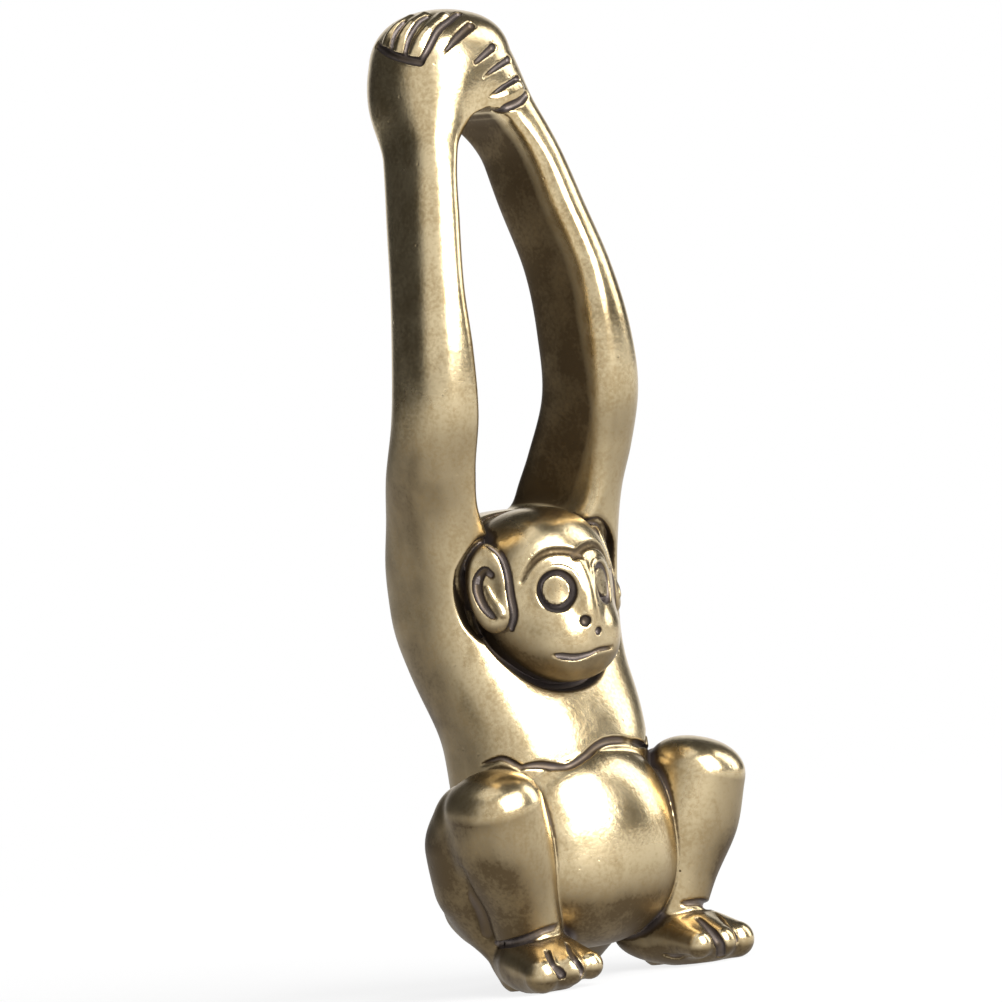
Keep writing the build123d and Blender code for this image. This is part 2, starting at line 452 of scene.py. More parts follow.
def rough_figure(points):
    """The blended figure without its carving."""
    body = FORMS["torso"](points)
    for side in SIDES:
        body = join(body, FORMS["arm" + side](points), ARM_BLEND)
    body = join(body, FORMS["grip"](points), GRIP_BLEND)
    body = cut(body, arch(points), ARCH_BLEND)
    face = FORMS["head"](points)
    hood = np.minimum(face, np.minimum(FORMS["ear_left"](points), FORMS["ear_right"](points)))
    height = points[:, 2]
    wide = np.interp(height, *MOAT_WIDTHS)
    deep = np.interp(height, *MOAT_DEPTHS)
    body = cut(body, np.minimum(wide - hood, body + deep), MOAT_BLEND)
    body = join(body, FORMS["belly"](points), BELLY_BLEND)
    body = join(body, face, HEAD_BLEND)
    for side in SIDES:
        leg = join(FORMS["shin" + side](points), FORMS["thigh" + side](points), KNEE_BLEND)
        leg = join(leg, FORMS["foot" + side](points), ANKLE_BLEND)
        body = join(body, leg, LEG_BLEND)
        body = join(body, FORMS["ear" + side](points), EAR_BLEND)
    return body


# Carving: each detail is a field in a small box that is cut from the figure or added to it
DETAILS = []
DETAIL_MARGIN = 0.6
STROKE_BLEND = 0.12


def detail(kind, field, low, high, blend):
    """Note a field to cut or add, with the box that it counts in."""
    low, high = np.asarray(low) - DETAIL_MARGIN, np.asarray(high) + DETAIL_MARGIN
    DETAILS.append((kind, field, low, high, blend))


def tapered(values, count):
    """As many values as asked, spread evenly along the given ones."""
    return np.interp(np.linspace(0, 1, count), np.linspace(0, 1, len(values)), values)


def smooth_path(points, count=4):
    """Points along a smooth line through the given ones."""
    points = np.asarray(points, float)
    marks = np.arange(len(points), dtype=float)
    fine = np.linspace(0, len(points) - 1, (len(points) - 1) * count + 1)
    tables = [np.stack([marks, points[:, k]], -1) for k in range(3)]
    return np.stack([through(fine, table, 1) for table in tables], -1)


def stroke(kind, pixels, widths, depths, mirrored=False, blend=STROKE_BLEND):
    """A groove or a ridge along pixels of the photograph; widths and depths may taper."""
    points, normals = on_surface(rough_figure, pixels)
    radii = tapered(widths, len(pixels)) / 2
    outward = radii - tapered(depths, len(pixels))
    if kind == "add":
        outward = -outward
    path = smooth_path(points + normals * outward[:, None])
    radii = tapered(radii, len(path))
    reach = radii.max()
    for mirror in (AS_IS, MIRROR) if mirrored else (AS_IS,):
        line = path * mirror

        def field(points, line=line):
            return tube(points, line, radii)

        detail(kind, field, line.min(0) - reach, line.max(0) + reach, blend)


def socket(mirror):
    """An eye's dished ring with the eyeball left standing in it."""
    centre = EYE_CENTRE * mirror

    def field(points):
        offset = (points - centre) * mirror
        dish = blob(offset, (0, 0, 0), SOCKET_SIZE, side=EYE_SIDE)
        ball = blob(offset, EYEBALL_SHIFT, EYEBALL_SIZE, side=EYE_SIDE)
        return np.maximum(dish, -ball)

    detail("cut", field, centre - SOCKET_REACH, centre + SOCKET_REACH, SOCKET_BLEND)


def lid(mirror):
    """The raised rim round an eye's socket."""
    centre = EYE_CENTRE * mirror
    outward = np.array(EYE_FACING) * mirror

    def field(points):
        rim = ring(points, centre - outward * LID_SUNK, outward, LID_RADIUS, LID_THICKNESS)
        return np.maximum(rim, FORMS["head"](points) - LID_PROUD)

    detail("add", field, centre - LID_REACH, centre + LID_REACH, LID_BLEND)


def figure(points):
    """The whole figure with its carving, cut flat where it stands."""
    body = rough_figure(points)
    for kind, field, low, high, blend in DETAILS:
        near = np.all((points > low) & (points < high), axis=1)
        if near.any():
            before, value = body[near], field(points[near])
            body[near] = cut(before, -value, blend) if kind == "cut" else join(before, value, blend)
    return np.maximum(body, -points[:, 2])


# Strokes along pixels of the photograph: kind, pixels, widths and depths. Where they are
# given, then also whether the other side has the mirror image, and the blend.

# Hands: the right one lies over the left, whose fingertips show at the top left
HAND_LINES = (
    ("add", ((412, 56), (418, 43), (428, 29), (443, 15)), (0.9, 0.95, 0.9), (0.12, 0.2, 0.2)),
    ("add", ((397, 50), (401, 37), (411, 23), (424, 14)), (0.8, 0.85, 0.8), (0.12, 0.2, 0.15)),
    ("add", ((384, 45), (389, 34), (398, 24), (410, 16)), (0.7, 0.75, 0.7), (0.1, 0.18, 0.1)),
    ("cut", ((377, 45), (390, 54), (406, 59), (420, 62)), (0.42, 0.55, 0.5), (0.2, 0.34, 0.3)),
    (
        "cut",
        ((421, 61), (428, 49), (439, 29), (450, 20), (459, 13)),
        (0.34, 0.5, 0.4),
        (0.2, 0.34, 0.25),
    ),
    ("cut", ((405, 55), (409, 38), (419, 22), (428, 16)), (0.26, 0.38, 0.3), (0.16, 0.26, 0.2)),
    ("cut", ((391, 50), (395, 33), (404, 22)), (0.26, 0.36, 0.3), (0.16, 0.24, 0.2)),
    ("cut", ((444, 53), (457, 38), (471, 25)), (0.12, 0.5, 0.6), (0.05, 0.3, 0.3)),
    ("cut", ((476, 62), (493, 47)), (0.3, 0.5), (0.14, 0.3)),
    ("cut", ((484, 77), (496, 68), (509, 59)), (0.14, 0.34, 0.4), (0.06, 0.24, 0.28)),
    ("cut", ((490, 96), (503, 88), (518, 79)), (0.14, 0.36, 0.44), (0.06, 0.26, 0.3)),
    ("add", ((497, 101), (508, 95), (520, 87)), (0.9, 0.95, 0.9), (0.08, 0.16, 0.16), False, 0.2),
    (
        "cut",
        ((494, 111), (507, 107.5), (521, 101), (527, 94)),
        (0.4, 0.5, 0.5, 0.4),
        (0.2, 0.34, 0.34, 0.2),
        False,
        0.15,
    ),
)
BROW = (
    "cut",
    (
        (521.6, 581.6),
        (526.7, 571.4),
        (533, 562.5),
        (542, 554.8),
        (552, 551),
        (562.4, 550.4),
        (572.7, 552),
        (581, 555),
    ),
    (0.4, 0.6, 0.56),
    (0.1, 0.22, 0.2),
    True,
    0.15,
)
NOSTRILS = (
    ("cut", ((585.4, 620.5), (585.9, 620.7)), (0.66,), (0.4,)),
    ("cut", ((598.8, 630.7), (599.0, 631.0)), (0.46,), (0.35,)),
)
MOUTH = (
    "cut",
    ((554, 655.5), (562, 656.5), (576, 657.5), (590, 654), (600, 649.5), (612, 647.5)),
    (0.2, 0.42, 0.45, 0.3, 0.26, 0.2),
    (0.1, 0.3, 0.3, 0.2, 0.16, 0.1),
)
# The fold inside the rim of an ear, the ridge beside it, and the notch behind the cheek
EAR_LINES = (
    (
        "cut",
        ((491, 575), (484, 571), (478, 580), (478, 592), (483, 605), (490, 614), (495, 618)),
        (0.4, 0.6, 0.6, 0.5, 0.3),
        (0.2, 0.36, 0.36, 0.3, 0.1),
        True,
    ),
    (
        "add",
        ((487, 588), (492, 598), (499, 608), (502, 615)),
        (0.3, 0.5, 0.4),
        (0.08, 0.18, 0.12),
        True,
    ),
    (
        "cut",
        ((488, 545), (498, 552), (504, 562), (508, 577), (511, 597), (514, 615), (511, 628)),
        (0.3, 0.45, 0.5, 0.4),
        (0.1, 0.28, 0.3, 0.2),
        True,
    ),
)
# The edge of the belly, then knee, ankle, haunch and toes
CREASES = (
    (
        "cut",
        (
            (521, 768),
            (529, 766),
            (541, 765),
            (555, 766.7),
            (569.7, 765.4),
            (584, 757),
            (601, 743.6),
            (618, 740),
            (635, 742.4),
            (650, 752),
        ),
        (0.3, 0.5, 0.5, 0.5, 0.3),
        (0.1, 0.24, 0.26, 0.24, 0.1),
    ),
    (
        "cut",
        ((482, 765), (493, 761), (504, 759.4), (521, 768)),
        (0.15, 0.4, 0.4),
        (0.03, 0.18, 0.1),
        True,
    ),
    (
        "cut",
        ((497, 944.8), (516, 942.4), (540.6, 932.7), (557.5, 926.6)),
        (0.5, 0.6, 0.4),
        (0.25, 0.3, 0.1),
        True,
    ),
    (
        "cut",
        ((462, 872), (471, 892), (482, 913), (486, 934)),
        (0.4, 0.7, 0.6),
        (0.06, 0.18, 0.15),
        True,
        0.6,
    ),
    ("cut", ((547, 951), (553, 964), (562, 975)), (0.3, 0.5, 0.5), (0.14, 0.34, 0.34)),
    ("cut", ((567, 943), (574, 957), (583, 974)), (0.3, 0.45, 0.45), (0.14, 0.3, 0.3)),
    ("cut", ((698, 918), (711, 931), (720, 945), (721, 957)), (0.3, 0.6, 0.55), (0.14, 0.36, 0.34)),
    ("cut", ((716, 913), (728, 926), (737, 941)), (0.2, 0.36, 0.36), (0.08, 0.2, 0.2)),
    ("cut", ((664, 955), (677, 957), (690, 956)), (0.3, 0.5, 0.3), (0.1, 0.24, 0.1)),
)

for line in HAND_LINES + (BROW,):
    stroke(*line)
for make in (socket, lid):
    make(AS_IS)
    make(MIRROR)
for line in NOSTRILS + (MOUTH,) + EAR_LINES + CREASES:
    stroke(*line)


# Mesh of the figure's surface: a grid that is sampled in full only in the blocks near the
# surface, then one vertex in each cell that the surface crosses

STEP = 0.11
BLOCK = 4
BLOCK_MARGIN = 1.3
BATCH = 6000
SETTLE_PASSES = 2
CORNERS = [(dx, dy, dz) for dx in (0, 1) for dy in (0, 1) for dz in (0, 1)]


def sampled(field, axes):
    """The field on a grid, exact near the surface and only signed elsewhere."""
    counts = [len(axis) for axis in axes]
    coarse = [axis[::BLOCK] for axis in axes]
    nodes = np.stack(np.meshgrid(*coarse, indexing="ij"), -1)
    rough = field(nodes.reshape(-1, 3)).reshape(nodes.shape[:3])
    near = np.abs(rough) < STEP * BLOCK * BLOCK_MARGIN
    blocks = np.zeros(rough.shape, bool)
    nx, ny, nz = rough.shape
    for dx, dy, dz in CORNERS:
        blocks[: nx - dx, : ny - dy, : nz - dz] |= near[dx:, dy:, dz:]
    filled = np.repeat(np.repeat(np.repeat(rough, BLOCK, 0), BLOCK, 1), BLOCK, 2)
    values = filled[: counts[0], : counts[1], : counts[2]].astype(np.float32)
    starts = np.argwhere(blocks) * BLOCK
    offsets = np.stack(np.meshgrid(*[np.arange(BLOCK)] * 3, indexing="ij"), -1).reshape(-1, 3)
    for part in np.array_split(starts, max(1, len(starts) // BATCH)):
        index = (part[:, None, :] + offsets).reshape(-1, 3)
        index = index[np.all(index < counts, axis=1)]
        points = np.stack([axes[k][index[:, k]] for k in range(3)], -1)
        values[index[:, 0], index[:, 1], index[:, 2]] = field(points)
    return values


def surface(values, axes):
    """Vertices and quads of the zero surface of a sampled field."""
    inside = values < 0
    count = np.zeros([n - 1 for n in inside.shape], np.uint8)
    nx, ny, nz = count.shape
    for dx, dy, dz in CORNERS:
        count += inside[dx : nx + dx, dy : ny + dy, dz : nz + dz]
    cells = np.argwhere((count > 0) & (count < 8))
    flat = np.ravel_multi_index(cells.T, count.shape)
    total = np.zeros((len(cells), 3))
    hits = np.zeros(len(cells))
    for axis in range(3):
        others = [k for k in range(3) if k != axis]
        for a in (0, 1):
            for b in (0, 1):
                start = cells.copy()
                start[:, others[0]] += a
                start[:, others[1]] += b
                end = start.copy()
                end[:, axis] += 1
                v0 = values[tuple(start.T)]
                v1 = values[tuple(end.T)]
                crossed = (v0 < 0) != (v1 < 0)
                share = np.where(crossed, v0 / np.where(crossed, v0 - v1, 1), 0)
                p0 = np.stack([axes[k][start[:, k]] for k in range(3)], -1)
                p1 = np.stack([axes[k][end[:, k]] for k in range(3)], -1)
                total += np.where(crossed[:, None], p0 + (p1 - p0) * share[:, None], 0)
                hits += crossed
    vertices = total / hits[:, None]
    quads = []
    for axis in range(3):
        u, v = (axis + 1) % 3, (axis + 2) % 3
        low = [slice(None)] * 3
        high = [slice(None)] * 3
        low[axis], high[axis] = slice(0, -1), slice(1, None)
        edges = np.argwhere(inside[tuple(low)] != inside[tuple(high)])
        ring_cells = []
        for du, dv in ((0, 0), (-1, 0), (-1, -1), (0, -1)):
            cell = edges.copy()
            cell[:, u] += du
            cell[:, v] += dv
            ring_cells.append(np.searchsorted(flat, np.ravel_multi_index(cell.T, count.shape)))
        quad = np.stack(ring_cells, -1)
        outward = inside[tuple(edges.T)]
        quad[~outward] = quad[~outward][:, ::-1]
        quads.append(quad)
    return vertices, np.concatenate(quads)


axes = [np.arange(low, high, STEP) for low, high in zip(GRID_LOW, GRID_HIGH)]
vertices, quads = surface(sampled(figure, axes), axes)
for _ in range(SETTLE_PASSES):
    slip = np.clip(figure(vertices), -STEP / 2, STEP / 2)
    vertices -= gradient(figure, vertices) * slip[:, None]
normals = gradient(figure, vertices)


# Wear, patina and painted shade, kept with each vertex: how closed in it is, how far it stands
# out, and how much shade is painted on it

CLOSE_REACHES = (0.3, 0.7, 1.5)
CARVED_DEPTH = 0.16
CARVED_SHARE = 0.38
EDGE_REACH = 0.35
EYEBALL_SHARE = 0.36
# The distance from an eye's centre between which the patina of the eyeball sets in
EYEBALL_REACH = (1.05, 0.85)
# The places and slopes between which each kind of painted shade sets in, and how much it counts
LOOP_BOTTOM = (27, 30)
LOOP_TOP = (56, 54.5)
LOOP_FACING = (0.5, 0.8)
LOOP_FRONT = (-2.3, -1.2)
BELOW_SLOPE = (0.04, -0.41)
BELOW_HEIGHTS = (14, 22, 35, 41)
BELOW_SHARES = (1, 0.75, 0.7, 0)
BELOW_BACK = (1, 3)
BELOW_BACK_LOSS = 0.6
FLANK_SHARE = 0.8
FLANK_PLACE = (3.5, 6.5)
FLANK_HEIGHT = (13, 5)
FLANK_FACING = (0, 0.8)
FLANK_FRONT = (-6, -2)
# The side of the figure that the key lamp lights brightest, and the painted shade of the
# opposite side
LIT_SIDE = (0.7986, -0.6018, 0.0)
TURNED_SHARE = 0.66
TURNED_SLOPE = (0.05, -0.7)
TURNED_HEIGHT = (40, 34)
OVERLAP_SHARE = 0.5


def clamp(values):
    return np.clip(values, 0, 1)


def rise(values, start, end):
    """From 0 at the start value to 1 at the end value, which may be the lower of the two."""
    return clamp((values - start) / (end - start))


closeness = sum(
    clamp(1 - figure(vertices + normals * reach) / reach) for reach in CLOSE_REACHES
) / len(CLOSE_REACHES)
carved = clamp(-rough_figure(vertices) / CARVED_DEPTH)
closeness = clamp(closeness + CARVED_SHARE * carved)
for mirror in (AS_IS, MIRROR):
    off_centre = np.linalg.norm(vertices - EYE_CENTRE * mirror, axis=1)
    closeness = np.maximum(closeness, EYEBALL_SHARE * rise(off_centre, *EYEBALL_REACH))
edge = clamp(1 + figure(vertices - normals * EDGE_REACH) / EDGE_REACH)

# Painted shade: on the faces of the arms towards the loop, the undersides, the lower flanks
# and the side turned away from the light
x, y, z = vertices.T
within = rise(z, *LOOP_BOTTOM) * rise(z, *LOOP_TOP)
middle = through(np.clip(z, ARM[0][0], ARM[-1][0]), ARM, 2)
# Painted shade on the faces of the arms that turn to each other across the loop
toward_loop = rise(-np.sign(x) * normals[:, 0], *LOOP_FACING) * within
toward_loop *= rise(y - middle, *LOOP_FRONT)
# Painted shade on surfaces that face downwards, less towards the back
below = rise(normals[:, 2], *BELOW_SLOPE) * np.interp(z, BELOW_HEIGHTS, BELOW_SHARES)
below *= 1 - BELOW_BACK_LOSS * rise(y, *BELOW_BACK)
# Painted shade on the lower outer flanks
flank = FLANK_SHARE * rise(np.abs(x), *FLANK_PLACE) * rise(z, *FLANK_HEIGHT)
flank *= rise(np.abs(normals[:, 0]), *FLANK_FACING) * rise(y, *FLANK_FRONT)
# Painted shade on the side turned away from the light
turned_away = TURNED_SHARE * rise(normals @ np.array(LIT_SIDE), *TURNED_SLOPE)
turned_away *= rise(z, *TURNED_HEIGHT)
overlap = np.maximum(below, turned_away) + OVERLAP_SHARE * np.minimum(below, turned_away)
# All the painted shade together
painted_shade = clamp(toward_loop + overlap + flank)


# Pieces: each quad goes to the CAD node whose own form is nearest, so that they meet at the
# creases of the figure and share the points of their seams

# How much more than its own form the pieces of the hands and eyes take in
GRIP_SKIN = 0.6
EYE_SKIN = 0.1
# How far the walls of the caps that close a piece run inwards
SEAM_DEPTH = 0.25
PATCH_PASSES = 4


def part_distances(points):
    """The distance to the form of each CAD node, by node name."""
    turned = np.array([np.cos(GRIP_TURN), -np.sin(GRIP_TURN), 0])
    across = (points - np.asarray(GRIP_CENTRE)) @ turned
    grip_form = FORMS["grip"](points) - GRIP_SKIN
    parts = {
        "torso": FORMS["torso"](points),
        "belly": FORMS["belly"](points),
        "head": FORMS["head"](points),
        "hand_right": np.maximum(grip_form, -across),
        "hand_left": np.maximum(grip_form, across),
    }
    for side in SIDES:
        arm_form = FORMS["arm" + side](points)
        parts["upper_arm" + side] = np.maximum(arm_form, points[:, 2] - ELBOW)
        parts["forearm" + side] = np.maximum(arm_form, ELBOW - points[:, 2])
        for name in ("thigh", "shin", "foot"):
            parts[name + side] = FORMS[name + side](points)
        parts["ear" + side] = FORMS["ear" + side](points)
        parts["eye" + side] = FORMS["eye" + side](points) - EYE_SKIN
    return parts


def spread(start, edges):
    """The lowest start value in each group of faces that the edges link."""
    group = start.copy()
    while True:
        low = np.minimum(group[edges[:, 0]], group[edges[:, 1]])
        before = group.copy()
        np.minimum.at(group, edges[:, 0], low)
        np.minimum.at(group, edges[:, 1], low)
        group = group[group]
        if np.array_equal(group, before):
            return group


def neighbours(faces):
    """Pairs of faces that share an edge."""
    ends = np.stack([faces, np.roll(faces, -1, axis=1)], -1).reshape(-1, 2)
    ends.sort(axis=1)
    key = ends[:, 0] * (faces.max() + 1) + ends[:, 1]
    order = np.argsort(key, kind="stable")
    same = key[order][:-1] == key[order][1:]
    owner = order // faces.shape[1]
    return np.stack([owner[:-1][same], owner[1:][same]], -1)


parts = part_distances(vertices)
names = list(parts)
stacked = np.stack(list(parts.values()))
label = stacked[:, quads].mean(2).argmin(0)
links = neighbours(quads)
# Each node keeps its largest patch of quads. The rest goes to the node beside it.
for _ in range(PATCH_PASSES):
    alike = label[links[:, 0]] == label[links[:, 1]]
    group = spread(np.arange(len(quads)), links[alike])
    size = np.bincount(group, minlength=len(quads))
    largest = {part: size[group[label == part]].max() for part in np.unique(label)}
    limit = np.array([largest.get(part, 0) for part in range(len(names))])
    stray = size[group] < limit[label]
    for a, b in ((0, 1), (1, 0)):
        rim = stray[links[:, a]] & ~stray[links[:, b]]
        chosen = dict(zip(group[links[rim, a]], label[links[rim, b]]))
        for island, part in chosen.items():
            label[group == island] = part
        stray &= ~np.isin(group, list(chosen))


def brass_piece(name, faces):
    """One closed piece of the casting: its part of the surface and caps inside it."""
    edges = np.stack([faces, np.roll(faces, -1, axis=1)], -1).reshape(-1, 2)
    count = len(vertices)
    forward = edges[:, 0] * count + edges[:, 1]
    backward = edges[:, 1] * count + edges[:, 0]
    rim = edges[~np.isin(forward, backward)]
    used = np.unique(faces)
    place = np.full(count, -1)
    place[used] = np.arange(len(used))
    points = [vertices[used]]
    outer = place[faces]
    caps = []
    closed = [closeness[used]]
    worn = [edge[used]]
    # The painted shade of each point; the hidden caps take it in full
    shade_paint = [painted_shade[used]]
    if len(rim):
        corners = np.unique(rim)
        inner = np.full(count, -1)
        inner[corners] = np.arange(len(corners))
        ends = inner[rim]
        loops = spread(np.arange(len(corners)), ends)
        sunk = vertices[corners] - normals[corners] * SEAM_DEPTH
        middles = np.unique(loops)
        centres = np.array([sunk[loops == middle].mean(0) for middle in middles])
        first = len(used)
        last = first + len(corners)
        points += [sunk, centres]
        added = len(corners) + len(middles)
        closed.append(np.ones(added))
        worn.append(np.zeros(added))
        shade_paint.append(np.ones(added))
        a, b = place[rim[:, 0]], place[rim[:, 1]]
        a_in, b_in = ends[:, 0] + first, ends[:, 1] + first
        hub = np.searchsorted(middles, loops[ends[:, 0]]) + last
        walls = np.stack([b, a, a_in, b_in], -1).tolist()
        caps = walls + np.stack([b_in, a_in, hub], -1).tolist()
    mesh = bpy.data.meshes.new(name)
    mesh.from_pydata((np.concatenate(points) * MM).tolist(), [], outer.tolist() + caps)
    mesh.update()
    smooth = np.zeros(len(mesh.polygons), bool)
    smooth[: len(outer)] = True
    mesh.polygons.foreach_set("use_smooth", smooth)
    corner_normals = np.zeros((len(mesh.loops), 3))
    corner_normals[: outer.size] = normals[used][outer.ravel()]
    mesh.normals_split_custom_set(corner_normals.tolist())
    for layer, values in (("closeness", closed), ("edge", worn), ("painted_shade", shade_paint)):
        attribute = mesh.attributes.new(layer, "FLOAT", "POINT")
        attribute.data.foreach_set("value", np.concatenate(values))
    mesh.materials.append(brass)
    piece = bpy.data.objects.new(name, mesh)
    bpy.context.scene.collection.objects.link(piece)
    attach(piece, "root")
    return piece


class Nodes:
    """A node tree with short names for the nodes that the materials use."""

    def __init__(self, owner):
        owner.use_nodes = True
        self.tree = owner.node_tree

    def feed(self, node, inputs):
        """Link each input of a node to a socket or set it to a value."""
        for key, value in inputs.items():
            if isinstance(value, bpy.types.NodeSocket):
                self.tree.links.new(value, node.inputs[key])
            else:
                node.inputs[key].default_value = value

    def feed_named(self, name, inputs):
        """Feed a node that the tree has from the start."""
        self.feed(self.tree.nodes[name], inputs)

    def add(self, kind, inputs=None, **settings):
        """A new node with its settings and inputs."""
        node = self.tree.nodes.new("ShaderNode" + kind)
        for key, value in settings.items():
            setattr(node, key, value)
        self.feed(node, inputs or {})
        return node

    def math(self, operation, a, b):
        return self.add("Math", {0: a, 1: b}, operation=operation).outputs[0]

    def sum(self, a, b):
        return self.math("ADD", a, b)

    def product(self, a, b):
        return self.math("MULTIPLY", a, b)

    def ramp(self, value, low, high, to_low=0.0, to_high=1.0):
        """A smooth step from one value to another as the input goes from low to high."""
        inputs = {0: value, 1: low, 2: high, 3: to_low, 4: to_high}
        return self.add("MapRange", inputs, interpolation_type="SMOOTHSTEP").outputs[0]

    def mix(self, share, a, b):
        """A mix of two colours: a at share 0 and b at share 1."""
        return self.add("Mix", {0: share, 6: a, 7: b}, data_type="RGBA").outputs[2]

    def noise(self, where, scale, detail=3.0):
        inputs = {"Vector": where, "Scale": scale, "Detail": detail}
        return self.add("TexNoise", inputs).outputs[0]

    def attribute(self, name):
        """A value that is kept with the points of a piece."""
        return self.add("Attribute", attribute_name=name).outputs["Fac"]


# The brass: its colours, the scales of its textures in repeats to the metre, and its relief
BRIGHT_BRASS = (0.76, 0.62, 0.38, 1)
DEEP_BRASS = (0.54, 0.41, 0.22, 1)
# Brown of the patina in shallow grooves and of the painted shade
BROWN_PATINA_AND_SHADE = (0.095, 0.066, 0.034, 1)
GREY_PATINA = (0.16, 0.135, 0.125, 1)
CLOUD_SCALE = 420.0
SPECK_SCALE = 4200.0
DENT_SCALE = 900.0
PIT_SCALE = 1300.0
STREAK_SCALE = (1500.0, 1500.0, 700.0)
METAL_ROUGHNESS = 0.24
PATINA_ROUGHNESS = 0.5
CLOUD_ROUGHNESS = 0.12
RELIEF_DEPTH = 0.00004
RELIEF_STRENGTH = 0.3
# How strongly each texture counts
STREAK_SHARE = 0.5
RAGGED_SHARE = 0.35
PIT_SHARE = 0.35
MOTTLED_SHARE = 0.3
MOTTLED_RANGE = (0.88, 1.06)
SPECK_RELIEF = 0.7
DENT_RELIEF = 1.2


def antique_brass():
    """Brass bright on worn edges, grey in deep grooves, brown in shallow ones and as painted shade.
    """
    material = bpy.data.materials.new("antique_brass")
    nodes = Nodes(material)
    where = nodes.add("TexCoord").outputs["Object"]
    close_by = nodes.attribute("closeness")
    # The painted shade kept with the points
    shade_paint = nodes.attribute("painted_shade")
    clouds = nodes.noise(where, CLOUD_SCALE, 5.0)
    specks = nodes.noise(where, SPECK_SCALE, 4.0)
    grain = nodes.math("SUBTRACT", specks, 0.5)
    stretched = nodes.add("Mapping", {"Vector": where, "Scale": STREAK_SCALE}).outputs[0]
    streaks = nodes.noise(stretched, 1.0)
    cells = nodes.add("TexVoronoi", {"Vector": where, "Scale": PIT_SCALE}).outputs["Distance"]
    pits = nodes.ramp(cells, 0.05, 0.18, 1.0, 0.0)
    pits = nodes.product(pits, nodes.ramp(clouds, 0.48, 0.62))

    tone = nodes.sum(nodes.product(streaks, STREAK_SHARE), nodes.sum(specks, clouds))
    metal = nodes.mix(nodes.ramp(tone, 0.9, 1.5), DEEP_BRASS, BRIGHT_BRASS)
    metal = nodes.mix(nodes.ramp(nodes.attribute("edge"), 0.25, 0.7), metal, BRIGHT_BRASS)

    ragged = nodes.sum(close_by, nodes.product(grain, RAGGED_SHARE))
    ragged = nodes.sum(ragged, nodes.product(pits, PIT_SHARE))
    mottled = nodes.ramp(clouds, 0.3, 0.7, *MOTTLED_RANGE)
    mottled = nodes.sum(mottled, nodes.product(grain, MOTTLED_SHARE))
    in_grooves = nodes.ramp(ragged, 0.2, 0.6)
    # Patina in the grooves, and the painted shade mottled by the clouds
    patina_and_shade = nodes.math("MAXIMUM", in_grooves, nodes.product(shade_paint, mottled))
    dark_colour = nodes.mix(nodes.ramp(close_by, 0.55, 0.95), BROWN_PATINA_AND_SHADE, GREY_PATINA)

    cloudy = nodes.product(nodes.math("SUBTRACT", clouds, 0.5), CLOUD_ROUGHNESS)
    roughness = nodes.ramp(patina_and_shade, 0, 1, METAL_ROUGHNESS, PATINA_ROUGHNESS)
    dents = nodes.product(nodes.noise(where, DENT_SCALE), DENT_RELIEF)
    relief = nodes.sum(nodes.product(specks, SPECK_RELIEF), dents)
    relief = nodes.math("SUBTRACT", relief, pits)
    bumps = {"Height": relief, "Strength": RELIEF_STRENGTH, "Distance": RELIEF_DEPTH}
    look = {
        "Base Color": nodes.mix(patina_and_shade, metal, dark_colour),
        "Metallic": 1,
        "Roughness": nodes.sum(roughness, cloudy),
        "Normal": nodes.add("Bump", bumps).outputs[0],
    }
    nodes.feed_named("Principled BSDF", look)
    return material


brass = antique_brass()
for index, node in enumerate(names):
    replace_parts(brass_piece("brass_" + node, quads[label == index]), node)


# Stage: floor, world, lamps and camera

FLOOR_RADIUS = 0.6
FLOOR_CORNERS = 96
FLOOR_PAINT = (0.85, 0.85, 0.85, 1)
FLOOR_ROUGHNESS = 0.9
# How much of the floor glows: less in a soft shade round the figure, from one radius to another
SHADE_RADII = (0.04, 0.2)
SHADE_GLOW = (0.82, 1.0)
WHITE = (1, 1, 1, 1)
# The white backdrop behind the figure: where its edge begins and ends, and the light of the
# room round it and of the backdrop itself
BACKDROP_EDGE = (0.8, 0.95)
BACKDROP_LIGHT = (0.06, 1.0)
# The soft light in front of the figure: its turn from the camera, its rise, its edge, how
# bright it is, and the sill at which it ends below
WINDOW_TURN = np.radians(-10)
WINDOW_RISE = (0, 0, 0.3)
WINDOW_EDGE = (0.5, 0.92)
WINDOW_LIGHT = 0.8
WINDOW_SILL = (-0.12, 0.1)
# Lamps: turn from the camera and lift in degrees, width and height in metres, brightness
LAMPS = {
    "key": (46, 30, 1.7, 2.3, 9.5),
    "side": (108, 25, 1.0, 2.0, 3.5),
    "top": (-60, 78, 1.6, 1.6, 1.0),
}
LAMP_DISTANCE = 2.4
LAMP_AIM = (0, 0, 0.03)
CAMERA_CLIP = (0.01, 10.0)


def floor_white():
    """White paint that also glows where it is seen directly, so that the floor shows white."""
    material = bpy.data.materials.new("floor_white")
    nodes = Nodes(material)
    nodes.feed_named("Principled BSDF", {"Base Color": FLOOR_PAINT, "Roughness": FLOOR_ROUGHNESS})
    rays = nodes.add("LightPath").outputs
    seen = nodes.math("MAXIMUM", rays["Is Camera Ray"], rays["Is Glossy Ray"])
    seen = nodes.math("MAXIMUM", seen, rays["Is Transmission Ray"])
    where = {0: nodes.add("TexCoord").outputs["Object"]}
    distance = nodes.add("VectorMath", where, operation="LENGTH").outputs["Value"]
    share = nodes.product(seen, nodes.ramp(distance, *SHADE_RADII, *SHADE_GLOW))
    paint = nodes.tree.nodes["Principled BSDF"].outputs[0]
    glow = nodes.add("Emission", {"Strength": 1.0}).outputs[0]
    mixed = nodes.add("MixShader", {0: share, 1: paint, 2: glow})
    nodes.feed_named("Material Output", {"Surface": mixed.outputs[0]})
    return material


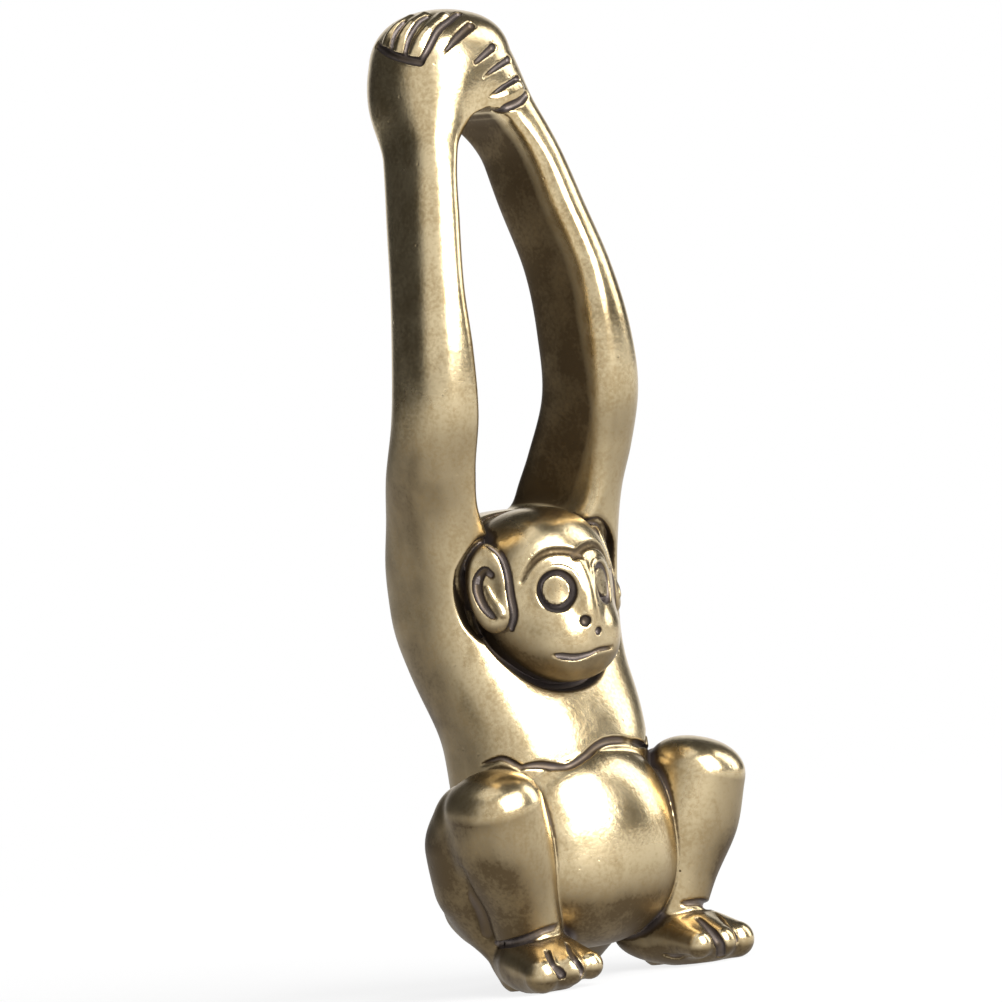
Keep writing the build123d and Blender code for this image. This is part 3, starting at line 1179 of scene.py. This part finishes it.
floor_mesh = bpy.data.meshes.new("floor")
angles = np.linspace(0, 2 * np.pi, FLOOR_CORNERS, endpoint=False)
rim = [(FLOOR_RADIUS * np.cos(angle), FLOOR_RADIUS * np.sin(angle), 0) for angle in angles]
floor_mesh.from_pydata(rim, [], [tuple(range(len(rim)))])
floor_mesh.materials.append(floor_white())
floor = bpy.data.objects.new("floor", floor_mesh)
bpy.context.scene.collection.objects.link(floor)


def level_direction(turn):
    """The level direction at a turn to the right of the camera, seen from the figure."""
    flat = unit(CAMERA_BACK * np.array([1, 1, 0]))
    return flat * np.cos(turn) + LEVEL_RIGHT * np.sin(turn)


def studio():
    """A world with a white backdrop behind the figure, a soft light before it and dark sides."""
    world = bpy.data.worlds.new("studio")
    nodes = Nodes(world)
    toward = nodes.add("TexCoord").outputs["Generated"]

    def facing(direction):
        inputs = {0: toward, 1: tuple(direction)}
        return nodes.add("VectorMath", inputs, operation="DOT_PRODUCT").outputs["Value"]

    backdrop = nodes.ramp(facing(level_direction(np.pi)), *BACKDROP_EDGE, *BACKDROP_LIGHT)
    window = unit(level_direction(WINDOW_TURN) + np.array(WINDOW_RISE))
    front = nodes.ramp(facing(window), *WINDOW_EDGE, 0.0, WINDOW_LIGHT)
    front = nodes.product(front, nodes.ramp(facing((0, 0, 1)), *WINDOW_SILL))
    nodes.feed_named("Background", {"Color": WHITE, "Strength": nodes.sum(backdrop, front)})
    return world


bpy.context.scene.world = studio()


def softbox(name, turn, lift, width, height, brightness):
    """A lit panel seen from the figure at a turn from the camera and at a lift."""
    turn, lift = np.radians(turn), np.radians(lift)
    toward_lamp = level_direction(turn) * np.cos(lift) + np.array([0, 0, np.sin(lift)])
    lamp = bpy.data.lights.new(name, "AREA")
    lamp.shape = "RECTANGLE"
    lamp.size = width
    lamp.size_y = height
    lamp.energy = brightness * np.pi * width * height
    holder = bpy.data.objects.new(name, lamp)
    holder.location = Vector(toward_lamp * LAMP_DISTANCE) + Vector(LAMP_AIM)
    holder.rotation_euler = (-Vector(toward_lamp)).to_track_quat("-Z", "Y").to_euler()
    holder.visible_camera = False
    bpy.context.scene.collection.objects.link(holder)


for name, values in LAMPS.items():
    softbox(name, *values)

camera_data = bpy.data.cameras.new("camera")
camera_data.sensor_width = SENSOR
camera_data.lens = SENSOR * CAMERA_DISTANCE / (PHOTO_SIZE / PIXELS_PER_MM)
camera_data.clip_start, camera_data.clip_end = CAMERA_CLIP
camera = bpy.data.objects.new("camera", camera_data)
axes = Matrix((CAMERA_RIGHT, CAMERA_UP, CAMERA_BACK)).transposed().to_4x4()
camera.matrix_world = Matrix.Translation(Vector(CAMERA_PLACE * MM)) @ axes
bpy.context.scene.collection.objects.link(camera)
bpy.context.scene.camera = camera
bpy.context.scene.view_settings.view_transform = "Standard"
